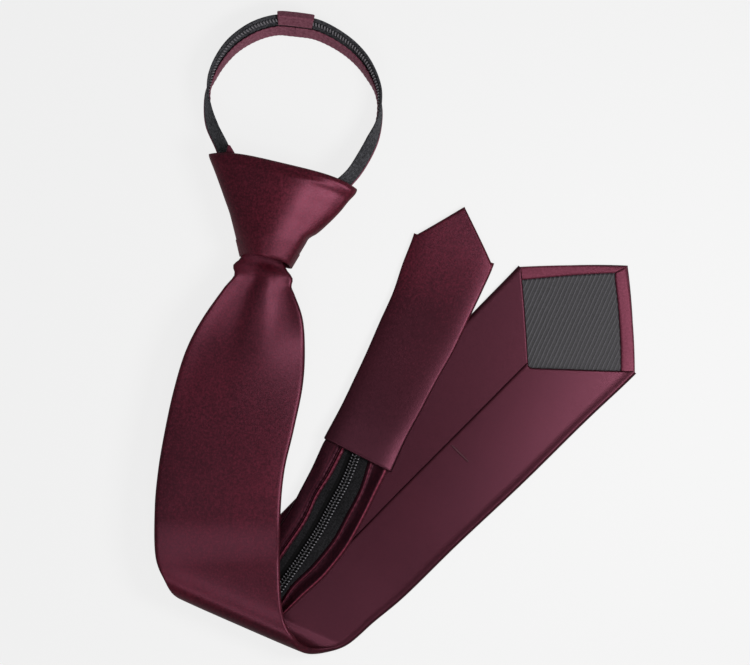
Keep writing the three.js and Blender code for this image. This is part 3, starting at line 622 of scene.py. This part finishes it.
# knot: width, length and depth in mm; it runs down from its upper left corner
knot = {
    "corner": plan(-0.3885, 0.283), "turn": -0.233, "width": 76, "length": 46.5, "deep": 27,
    "arch": 3, "crown": 4.0, "power": 0.66, "topRim": 2.4, "lowRim": 0.8, "cloth": 0.8,
    # along, left, right, deep, middle
    "rows": [
        (0, -0.008, 1.008, 0.92, 0.5), (0.05, 0.012, 1.0, 1, 0.5), (0.15, 0.055, 0.966, 1, 0.5),
        (0.27, 0.104, 0.931, 0.98, 0.49), (0.45, 0.175, 0.864, 0.94, 0.475), (0.57, 0.222, 0.811, 0.92, 0.46),
        (0.64, 0.245, 0.768, 0.9, 0.455), (0.7, 0.264, 0.756, 0.89, 0.45), (0.85, 0.311, 0.727, 0.85, 0.43),
        (1, 0.357, 0.698, 0.8, 0.41)],
    # heights in mm on the front, at shares along, nine shares across
    "relief": [
        (0, [0, 0.5, 0.6, 0.6, 0.6, 0.6, 0.3, 0, 0]), (0.06, [0, -0.1, -0.1, 0, 0.1, -0.1, -0.5, -0.8, -0.3]),
        (0.1, [0, 0.3, 0.7, 1.2, 1.4, 0.9, -0.2, -1.1, -0.9]),
        (0.15, [0, 0.3, 0.9, 1.6, 2, 1.2, -0.4, -1.4, -1.3]),
        (0.3, [0, 0.5, 1.1, 2, 2.6, 1.8, 0.1, -0.9, -1.1]), (0.5, [0, 0.6, 1.6, 2.8, 3.3, 2.4, 1, 0.3, 0.1]),
        (0.75, [0, 1.4, 2.8, 3.9, 4.2, 3.4, 2.4, 1.9, 1.7]), (1, [0, 1.8, 3.4, 4.5, 4.7, 4, 3.2, 2.8, 2.5])],
    # the right edge without its kink, as the middle of the cloth follows it
    "soft": [(0, 1.008), (0.15, 0.966), (0.3, 0.918), (0.5, 0.838), (0.75, 0.752), (1, 0.698)],
}
knotAcross = np.array([np.cos(knot["turn"]), np.sin(knot["turn"]), 0])
knotAlong = np.array([np.sin(knot["turn"]), -np.cos(knot["turn"]), 0])


# the sleeve's outside, a superellipse at a share along and an angle round, drawn in by an inset in mm
def knotPoint(along, angle, inset):
    table = np.array(knot["rows"])
    left, right, deep, middle = (through(table[:, 0], table[:, k], along) for k in range(1, 5))
    soft = through(*np.array(knot["soft"]).T, along)
    centre = (left + soft) / 2 * knot["width"]
    half = (soft - left) / 2 * knot["width"] - inset * 0.3
    tall = deep * knot["deep"] / 2 - inset
    c, s = np.cos(angle), np.sin(angle)
    across = centre + half * np.sign(c) * np.abs(c) ** knot["power"]
    share = (across - centre) / half
    across = across + (right - soft) * knot["width"] * smooth(0.7, 1, share)
    crown = knot["crown"] * (1 - share**4) * (1 - smooth(0, 0.45, along))
    arch = knot["arch"] * np.maximum(0, s) * smooth(0.6, 1, along) + crown
    point = np.array(knot["corner"]) + knotAcross * across[..., None]
    point = point + knotAlong * (along * knot["length"] - arch)[..., None]
    more = relief(knot["relief"], along, share) * smooth(0.1, 0.6, s)
    point[..., 2] = middle * knot["deep"] + tall * np.sign(s) * np.abs(s) ** knot["power"] + more
    return point


# the sleeve from inside its upper rim, over its outside and round the lower rim back inside
def knotGrid():
    bend = np.radians(np.linspace(0, 180, 9))
    top, low, length = knot["topRim"], knot["lowRim"], knot["length"]
    body = np.linspace(top + 0.8, length - low - 0.8, 70)
    along = np.concatenate([[9, 6, 4], top * (1 - np.sin(bend)), body,
                            length - low + low * np.sin(bend[1:-1]), [length - 2.5, length - 5, length - 8]])
    inset = np.concatenate([np.full(3, 2 * top), top + top * np.cos(bend), np.zeros(70),
                            low - low * np.cos(bend[1:-1]), np.full(3, 2 * low)])
    angle = np.linspace(0, 2 * np.pi, 129)
    along, inset = along[:, None] / length + 0 * angle, inset[:, None] + 0 * angle
    angle = angle + 0 * along
    return knotPoint(along, angle, inset), pair(angle * 18, along * 50)


points, uv = knotGrid()
piece = thicken(surface("knotSatin", points, uv, ring=True), knot["cloth"])
knotPiece = dress(piece, litKnotLook, "knot")

# the folded corner behind the knot: a thin flat cone from its top corner to its base
tab = {"corners": [plan(-0.3471, 0.2998), plan(-0.3579, 0.2707), plan(-0.321, 0.2676)], "height": 20.2,
       "half": 0.6}
t = np.linspace(0.12, 1, 20)[:, None]
phi = np.linspace(0, 2 * np.pi, 33)[None, :]
left, right = (mix(*np.array([tab["corners"][0], tab["corners"][k]]), t)[:, None, :] for k in (1, 2))
wide = (1 + np.sign(np.cos(phi)) * np.abs(np.cos(phi)) ** 0.6) / 2
points = left + (right - left) * wide[..., None]
points[..., 2] = tab["height"] + tab["half"] * np.sin(phi)
piece = surface("tabSatin", points, pair(wide * 8, t * 10), ring=True, capped=True)
tabPiece = dress(piece, facingLook, "knot_tab")

# tail: closed zip between two folded satin strips
tail = {
    "width": 36.5, "low": 6.1, "top": 0.69,
    # place, height in mm, turn in degrees, then the four offsets as shares of the width
    "down": [
        (-0.2781, 0.1541, 7.52, -13, 0.25, 0.11, 0.11, 0.25),
        (-0.275, 0.1173, 7.52, -13, 0.25, 0.11, 0.11, 0.25),
        (-0.2865, 0.059, 8.55, -8, 0.33, 0.15, 0.15, 0.33),
        (-0.3115, -0.0637, 13.22, -5, 0.4, 0.19, 0.18, 0.4),
        (-0.3323, -0.2017, 15.05, -12, 0.42, 0.2, 0.18, 0.4),
        (-0.3177, -0.3167, 15.73, -20, 0.44, 0.2, 0.16, 0.34)],
    "up": [
        (-0.2344, -0.377, -31, 0.493, 0.212, 0.096, 0.329),
        (-0.1969, -0.3376, -34, 0.493, 0.219, 0.171, 0.418),
        (-0.1581, -0.2937, -31, 0.493, 0.212, 0.219, 0.459),
        (-0.1302, -0.2554, -28, 0.493, 0.233, 0.219, 0.466),
        (-0.1052, -0.2216, -25, 0.5, 0.212, 0.212, 0.452),
        (-0.0829, -0.1817, -22.5, 0.486, 0.178, 0.178, 0.479),
        (-0.0771, -0.171, -22.5, 0.466, 0.178, 0.178, 0.466)],
    "roll": [(-0.2833, -0.4123), (-0.2723, -0.416)], "rollTurn": -24.9,
    "rollOffsets": (0.466, 0.205, 0.123, 0.26),
    "strip": 1.6, "tape": 1.0, "pitch": 1.6, "wire": (1.25, 0.5, 0.4, 0.25),
    "coilAcross": 0.95, "coilUnder": 1.6, "noGlintFrom": 0.875,
}
upper, lower = (plan(*place) for place in tail["roll"])
middle = np.vstack([[plan(*r[:3]) for r in tail["down"]],
                    rollRows(upper, lower, tail["top"] * tie["roll"], tail["low"], rollOut),
                    [plan(r[0], r[1], tail["low"]) for r in tail["up"]]])
turns = np.radians([r[3] for r in tail["down"]] + [tail["rollTurn"]] * 5 + [r[2] for r in tail["up"]])
offsets = [r[4:] for r in tail["down"]] + [tail["rollOffsets"]] * 5 + [r[3:] for r in tail["up"]]
offsets = np.array(offsets) * tail["width"]
side = np.stack([np.cos(turns), np.sin(turns), 0 * turns], -1)
tailRibbon = Ribbon(middle - side * tail["width"], middle + side * tail["width"], tail["low"])
leftOut, leftIn, rightIn, rightOut = (rowCurve(offsets[:, k]) for k in range(4))
tailFull = float(tailRibbon.lengths[-1])
stripEnd = float(tailRibbon.lengthAt(tailRibbon.last - 0.05))


# flat tube along the tail, a slab between two distances across; extra adds heights
def tailTube(name, inner, outer, thick, end, count, columns=15, extra=None, edges=()):
    length = np.linspace(0, end, count)[:, None]
    rows = tailRibbon.rowAt(length)
    share, turned, rise = slab(0.96, columns, 7)
    a, b = inner(rows[:, 0])[:, None], outer(rows[:, 0])[:, None]
    radius = thick / 2
    across = (a + b) / 2 + share * ((b - a) / 2 - radius + radius * turned)
    rows, share, rise = (v + 0 * across for v in (rows, share, rise))
    height = radius * rise
    if extra is not None:
        height = height + extra(rows, share, rise)
    points = tailRibbon.place(rows, across, -height)
    piece = surface(name, points, pair(across, length), ring=True, capped=True)
    if edges:
        # painted highlight on the folded edges, kept in the point attribute edge
        lit = sum(k * np.exp(-(((share - at) / 0.07) ** 2)) for at, k in edges) * (rise > 0)
        lit = lit * (0.8 + 0.2 * np.sin(length * 2.1))
        piece.data.attributes.new("edge", "FLOAT", "POINT").data.foreach_set("value", lit[:, :-1].ravel())
    return piece, areaOf(points)


# heights over each strip from its outer edge (-1) to the zip (1); its painted highlights on the folds: share
# across, strength
stripForm = {
    -1: {"heights": ((-1, -0.5, 0, 0.5, 0.7, 0.88, 1), (0, 0.3, 0.4, 0.1, -0.6, 0.3, 0.2)),
         "edges": [(0.9, 0.8), (0.1, 0.12)]},
    1: {"heights": ((-1, -0.8, -0.4, 0.2, 0.55, 0.8, 1), (0.6, 1.0, 0.6, -0.1, -0.2, 0.3, 0.1)),
        "edges": [(0.9, 0.9), (-0.72, 0.35)]},
}


# the table's height plus fine puckers at the sewing and a slow wave, on the upper side alone
def stripShape(sign):
    def shape(rows, share, rise):
        inner = -sign * share
        length = tailRibbon.lengthAt(rows)
        sewn = np.exp(-(((inner - 0.8) / 0.35) ** 2))
        pull = 0.2 * np.sin(length * 2.1 + 1.3 * np.sin(length * 0.31)) * sewn
        slow = 0.15 * np.sin(length * 0.21 + inner * 2) * (1 - inner**2)
        return (through(*stripForm[sign]["heights"], inner) + pull + slow) * smooth(-0.7, 0.7, rise)
    return shape


# distance across of an offset curve at the given rows, with more added outwards
def offset(curve, sign, more=0):
    return lambda rows: sign * (curve(rows)[:, 0] + more)


strips, tapes, coils = [], [], []
for name, sign, inner, outer, node in [("stripLeft", -1, leftOut, leftIn, "tail_strip_left"),
                                       ("stripRight", 1, rightIn, rightOut, "tail_strip_right")]:
    piece, area = tailTube(name, offset(inner, sign), offset(outer, sign), tail["strip"], stripEnd, 300, 31,
                           stripShape(sign), stripForm[sign]["edges"])
    strips.append(dress(piece, shadedStripLook, node))

for name, inner, outer, node in [
    ("tailTapeLeft", offset(leftIn, -1, 0.2), lambda rows: 0 * rows - 0.15, "tail_tape_left"),
    ("tailTapeRight", lambda rows: 0 * rows + 0.15, offset(rightIn, 1, 0.2), "tail_tape_right"),
]:
    piece, area = tailTube(name, inner, outer, tail["tape"], tailFull, 220, 9)
    tapes.append((dress(piece, tailTapeLook, node), area))


# one wire loop per tooth: an oval in the plane across the zip that leans along it
def coilLoops(length, pitch, start, sign, wide, tall, wire, slant, path=12, section=5):
    t = np.linspace(0, 2 * np.pi, path, endpoint=False)
    phi = np.linspace(0, 2 * np.pi, section, endpoint=False)
    centre = np.stack([np.cos(t) * wide, np.sin(t) * tall], -1)
    out = unit(np.stack([np.cos(t) * tall, np.sin(t) * wide], -1))
    across = sign * (centre[:, :1] + out[:, :1] * wire * np.cos(phi))
    height = centre[:, 1:] + out[:, 1:] * wire * np.cos(phi)
    lean = slant * np.cos(t)[:, None] + wire * np.sin(phi) * sign
    first = start + np.arange(int(length / pitch) - 1)[:, None, None] * pitch
    return first + lean, across + 0 * first, height + 0 * first


for name, sign, shift, node in [("tailCoilLeft", -1, 0.5, "tail_coil_left"),
                                ("tailCoilRight", 1, 1.0, "tail_coil_right")]:
    length, across, height = coilLoops(tailFull, tail["pitch"], shift * tail["pitch"], sign, *tail["wire"])
    across = across + sign * tail["coilAcross"]
    points = tailRibbon.place(tailRibbon.rowAt(length), across, -(tail["coilUnder"] + height))
    shown = across if sign > 0 else np.minimum(across, -tail["noGlintFrom"])  # the left coil's inner ends get no painted glint
    coils.append(dress(loops(name, points, pair(shown, length)), coilLook, node))
print("tail made")

# tail cap: a flat satin sleeve with an open mouth and a square point
cap = {
    # left edge, right edge, their heights in mm, how far the mouth's swell goes
    "rows": [
        ((-0.15, -0.1534), (-0.0085, -0.2064), 7.2, 7.2, 1),
        ((-0.1135, -0.1035), (0.0219, -0.1557), 5.59, 6.61, 0.3),
        ((-0.0865, -0.0621), (0.0531, -0.1127), 4.81, 6.38, 0.05),
        ((-0.0594, -0.0192), (0.0875, -0.0644), 4.4, 6.29, 0),
        ((-0.0323, 0.0268), (0.1219, -0.0192), 3.6, 6.16, 0),
        ((-0.0052, 0.0713), (0.1531, 0.0291), 2.8, 5.88, 0),
        ((0.0144, 0.1143), (0.1823, 0.0744), 2.19, 4.33, 0),
        ((0.0388, 0.162), (0.2062, 0.1152), 1.89, 2.6, 0),
        ((0.0635, 0.2359), (0.2313, 0.1891), 1.82, 1.87, 0)],
    "thick": 3.4, "mouth": 5.8, "point": 21.5, "cloth": 0.8, "rim": 0.8,
    "bodyRows": 90, "pointRows": 40,
}
capRibbon = Ribbon([plan(*r[0], r[2]) for r in cap["rows"]], [plan(*r[1], r[3]) for r in cap["rows"]])
capSwell = rowCurve([r[4] for r in cap["rows"]])
capBase = float(capRibbon.lengthAt(capRibbon.last - 1))


# the slab carried from inside the mouth round its rim to the point's round edge, plus crown, seam and pucker
def capGrid():
    share, turned, rise = slab(0.97, 31, 9, -1)
    radius = cap["thick"] / 2
    common = capBase - 16
    end = capBase + (1 - np.abs(share)) * cap["point"]
    rim = np.radians(np.linspace(0, 180, 7))
    mouth = np.concatenate([[7, 4.5, 2.2], cap["rim"] * (1 - np.sin(rim)),
                            np.linspace(1.6, common, cap["bodyRows"])])
    close = np.radians([15, 30, 45, 60, 75, 90])[:, None]
    point = np.linspace(0, 1, cap["pointRows"] + 1)[1:, None]
    length = np.vstack([mouth[:, None] + 0 * share, common + (end - radius - common) * point,
                        end - radius + radius * np.sin(close)])
    shrink = np.vstack([np.ones((len(mouth) + len(point), 1)), np.cos(close)])
    inset = np.zeros((len(length), 1))
    inset[:10, 0] = np.concatenate([[1.6] * 3, cap["rim"] * (1 + np.cos(rim))])
    rows = capRibbon.rowAt(length)
    thick = mix(cap["thick"], cap["mouth"], capSwell(rows)[..., 0])
    across = share * (capRibbon.half(rows) - inset - radius + radius * turned)
    crown = np.where(np.abs(share) == 1, 0.72, 1 - 0.28 * np.abs(share) ** 6)
    height = (thick / 2 - inset) * rise * shrink * crown
    pucker = np.exp(-(((across + 4.9) / 1.1) ** 2) - ((length - 12.6) / 2.8) ** 2)
    seam = np.exp(-(((share - 0.9) / 0.045) ** 2))
    height = height + (0.45 * pucker + 0.3 * seam * smooth(0, 6, length)) * smooth(0, 1, rise) * shrink
    return capRibbon.place(rows, across, height), pair(across, length)


points, uv = capGrid()
piece = thicken(surface("capSatin", points, uv, ring=True, weld=True), cap["cloth"])
capPiece = dress(piece, capLook, "tail_cap")

# neck band
neck = {
    # place, height in mm, lean of the upper edge outwards in degrees
    "left": [
        (-0.2906, 0.194, 12, -76), (-0.3323, 0.2416, 13.2, -48), (-0.3614, 0.2933, 13.3, -30),
        (-0.3832, 0.3275, 9.6, -27), (-0.3917, 0.3551, 7.6, -16), (-0.3928, 0.3811, 7, -4),
        (-0.3848, 0.4026, 7, 10), (-0.3677, 0.4271, 7, 20), (-0.3385, 0.4525, 6.9, 30),
        (-0.2927, 0.4739, 6.5, 39), (-0.2469, 0.483, 6.3, 43), (-0.2083, 0.4812, 6.3, 44)],
    "right": [
        (-0.2323, 0.194, 12, -76), (-0.1948, 0.2002, 12.6, -60), (-0.1365, 0.2214, 13.2, -38),
        (-0.0918, 0.25, 13, -30), (-0.0663, 0.278, 9.6, -30), (-0.0481, 0.3044, 8, -26),
        (-0.0356, 0.329, 7.2, -13), (-0.0304, 0.3535, 7, -3), (-0.0336, 0.3811, 7, 8),
        (-0.0485, 0.4064, 7, 19), (-0.0688, 0.4287, 6.9, 27), (-0.0969, 0.4486, 6.6, 33),
        (-0.1344, 0.4663, 6.5, 38), (-0.1677, 0.4766, 6.4, 42), (-0.2083, 0.4812, 6.3, 44)],
    "width": 13, "tape": 1.0, "facing": 6.3, "gap": 0.45, "cloth": 1.0, "pitch": 1.5,
    "wire": (1.0, 0.42, 0.3, 0.3),
}


# a band on edge: place goes up the leaning band from its middle, then out from its face
class Band(Ribbon):
    def __init__(self, rows, sign):
        self.middle = rowCurve([plan(*row[:3]) for row in rows])
        self.leaning = rowCurve([row[3] for row in rows])
        self.sign, self.last = sign, len(rows) - 1
        self.rows, self.lengths = measure(self.middle, self.last)

    def place(self, rows, height, outwards):
        rows, height, outwards = level(rows, height, outwards)
        along = self.middle(np.minimum(rows + 0.05, self.last)) - self.middle(np.maximum(rows - 0.05, 0))
        outside = unit(np.cross(along, [0, 0, 1.0]) * self.sign)
        lean = np.radians(self.leaning(rows)[..., :1])
        bandUp = outside * np.sin(lean) + np.array([0, 0, 1.0]) * np.cos(lean)
        face = outside * np.cos(lean) - np.array([0, 0, 1.0]) * np.sin(lean)
        return self.middle(rows) + bandUp * height[..., None] + face * outwards[..., None]


# rounded closed section through a few corner points, as many small steps
def roundSection(corners, radius, steps=5, between=6):
    corners = np.array(corners, float)
    before, after = np.roll(corners, 1, 0), np.roll(corners, -1, 0)
    out = []
    for p, a, b in zip(corners, before, after):
        start = p + unit(a - p) * min(radius, np.linalg.norm(a - p) / 2.01)
        end = p + unit(b - p) * min(radius, np.linalg.norm(b - p) / 2.01)
        t = np.linspace(0, 1, steps)[:, None]
        out.append(start * (1 - t) ** 2 + 2 * p * t * (1 - t) + end * t**2)
    line = np.vstack(out)
    line = np.vstack([line, line[:1]])
    parts = []
    for here, there in zip(line[:-1], line[1:]):
        count = between if np.linalg.norm(there - here) > 1.5 else 1
        parts.append(mix(here, there, np.linspace(0, 1, count, endpoint=False)[:, None]))
    return np.vstack(parts + [line[:1]])


# a section of heights and outward distances carried along a band
def bandTube(name, band, section, count=260, bumps=None):
    length = np.linspace(0, band.lengths[-1], count)[:, None]
    height, outwards = section[:, 0] + 0 * length, section[:, 1] + 0 * length
    if bumps is not None:
        height, outwards = bumps(length + 0 * height, height, outwards)
    points = band.place(band.rowAt(length) + 0 * height, height, outwards)
    return surface(name, points, pair(lengthsAlong(section), length), ring=True, capped=True)


half, halfTape = neck["width"] / 2, neck["tape"] / 2
foot = -half + neck["cloth"] + 0.3
faceIn = halfTape + neck["gap"]
faceOut = faceIn + neck["cloth"]
tapeSection = roundSection([(half, halfTape), (half, -halfTape), (foot, -halfTape), (foot, halfTape)], 0.45)
facingSection = roundSection([(-half + neck["facing"], -faceOut), (-half, -faceOut), (-half, halfTape),
                              (-half + neck["cloth"], halfTape), (-half + neck["cloth"], -faceIn),
                              (-half + neck["facing"], -faceIn)], 0.6)


# the satin edge puckers a little at its sewing
def pucker(length, height, outwards):
    outwards = outwards - 0.08 * np.sin(length * 2.3) * (outwards < -0.6)
    return height + 0.12 * np.sin(length * 1.7) * smooth(-2.5, -1, height), outwards


bands = {}
for word, sign in [("left", -1), ("right", 1)]:
    band = bands[word] = Band(neck[word], sign)
    full = float(band.lengths[-1])
    end = word.capitalize()
    piece = bandTube("neckTape" + end, band, tapeSection)
    tapePiece = dress(piece, neckTapeLook, "neck_tape_" + word)
    piece = bandTube("neckFacing" + end, band, facingSection, bumps=pucker)
    facing = dress(piece, neckSatinLook, "neck_facing_" + word)
    length, across, tall = coilLoops(full, neck["pitch"], 0.8, sign, *neck["wire"])
    rows = band.rowAt(length)
    tuck = smooth(5, -9, band.leaning(rows)[..., 0])  # tucked away where the band leans in
    points = band.place(rows, half - 2.6 - 2.8 * tuck + across, -faceIn - 0.3 + 0.8 * tuck + tall)
    coilPiece = dress(loops("neckCoil" + end, points), neckCoilLook, "neck_coil_" + word)
print("neck band made")

# keeper: a sleeve over the join, its rims turned in; rows is its reach down the left and right band
keeper = {"width": 7, "rows": (0.95, 0.85), "cloth": 0.4, "clear": 0.4, "above": 0.3, "inside": (0.84, 0.92)}


def keeperGrid():
    under = faceIn + keeper["clear"] + 1
    foot, top = half + 1.3 - keeper["width"], half + keeper["above"] + 1
    ring = roundSection([(foot, -under), (top, -under), (top, faceOut), (foot, faceOut)], 1.1, 7, 8)
    rim = np.radians(np.linspace(0, 180, 7))
    inside = np.array(keeper["inside"])
    turned = 0.05 * (1 - np.sin(rim))
    along = np.concatenate([-inside, -1 + turned, np.linspace(-0.94, 0.94, 33), 1 - turned, inside[::-1]])
    inset = np.concatenate([[1, 1], (1 + np.cos(rim)) / 2, np.zeros(33), (1 - np.cos(rim)) / 2, [1, 1]])
    section = ring[None] + unit(ring[:-1].mean(0) - ring)[None] * inset[:, None, None]
    parts = []
    for word, mine, reach in zip(("left", "right"), (along < 0, along >= 0), keeper["rows"]):
        rows = bands[word].last - np.abs(along[mine])[:, None] * reach
        parts.append(bands[word].place(rows, section[mine, :, 0], section[mine, :, 1]))
    return np.vstack(parts), pair(along[:, None] * 9.5, lengthsAlong(ring))


points, uv = keeperGrid()
piece = thicken(surface("keeperSatin", points, uv, ring=True), keeper["cloth"])
keeperPiece = dress(piece, neckSatinLook, "neck_keeper")
print("keeper made")

slider = bpy.data.objects["slider"]
slider.data.materials.clear()
slider.data.materials.append(sliderLook)

# floor, lights and camera, in metres; the lens looks straight down from afar
studio = {
    "key": {"at": (0.23, -0.04, 0.38), "size": 0.18, "power": 1.18},
    "fill": {"at": (-0.09, -0.32, 0.5), "size": 0.22, "power": 0.45},
    "sky": 0.2, "floor": 0.1, "glow": 0.81, "reach": 3,
    "eye": (-0.01045, -0.0011), "focus": 0.012, "across": 0.375, "lens": 400, "sensor": 36,
}
floorMesh = bpy.data.meshes.new("floor")
corners = [(-1, -1, 0), (1, -1, 0), (1, 1, 0), (-1, 1, 0)]
floorMesh.from_pydata((np.array(corners) * studio["reach"]).tolist(), [], [(0, 1, 2, 3)])
floor = newObject("floor", floorMesh)
n = Nodes("floor")
n.set(Base_Color=(*[studio["floor"]] * 3, 1), Roughness=0.9, Emission_Color=(1, 1, 1, 1),
      Emission_Strength=studio["glow"])
floorMesh.materials.append(n.material)
floor.visible_glossy = False

world = scene.world = bpy.data.worlds.new("studio")
world.use_nodes = True
light, strength = world.node_tree.nodes["Background"].inputs[:2]
light.default_value, strength.default_value = (1, 1, 1, 1), studio["sky"]


# a square area light that faces the origin
def areaLight(name, facts):
    light = bpy.data.lights.new(name, "AREA")
    light.shape = "RECTANGLE"
    light.size = light.size_y = facts["size"]
    light.energy = facts["power"]
    lamp = newObject(name, light)
    lamp.location = facts["at"]
    lamp.rotation_euler = (-mathutils.Vector(facts["at"])).to_track_quat("-Z", "Y").to_euler()


areaLight("key", studio["key"])
areaLight("fill", studio["fill"])

camera = bpy.data.cameras.new("camera")
camera.lens, camera.sensor_width = studio["lens"], studio["sensor"]
camera.clip_end = 20
eye = newObject("camera", camera)
eye.location = (*studio["eye"], studio["focus"] + studio["across"] * studio["lens"] / studio["sensor"])
scene.camera = eye
print("stage set")
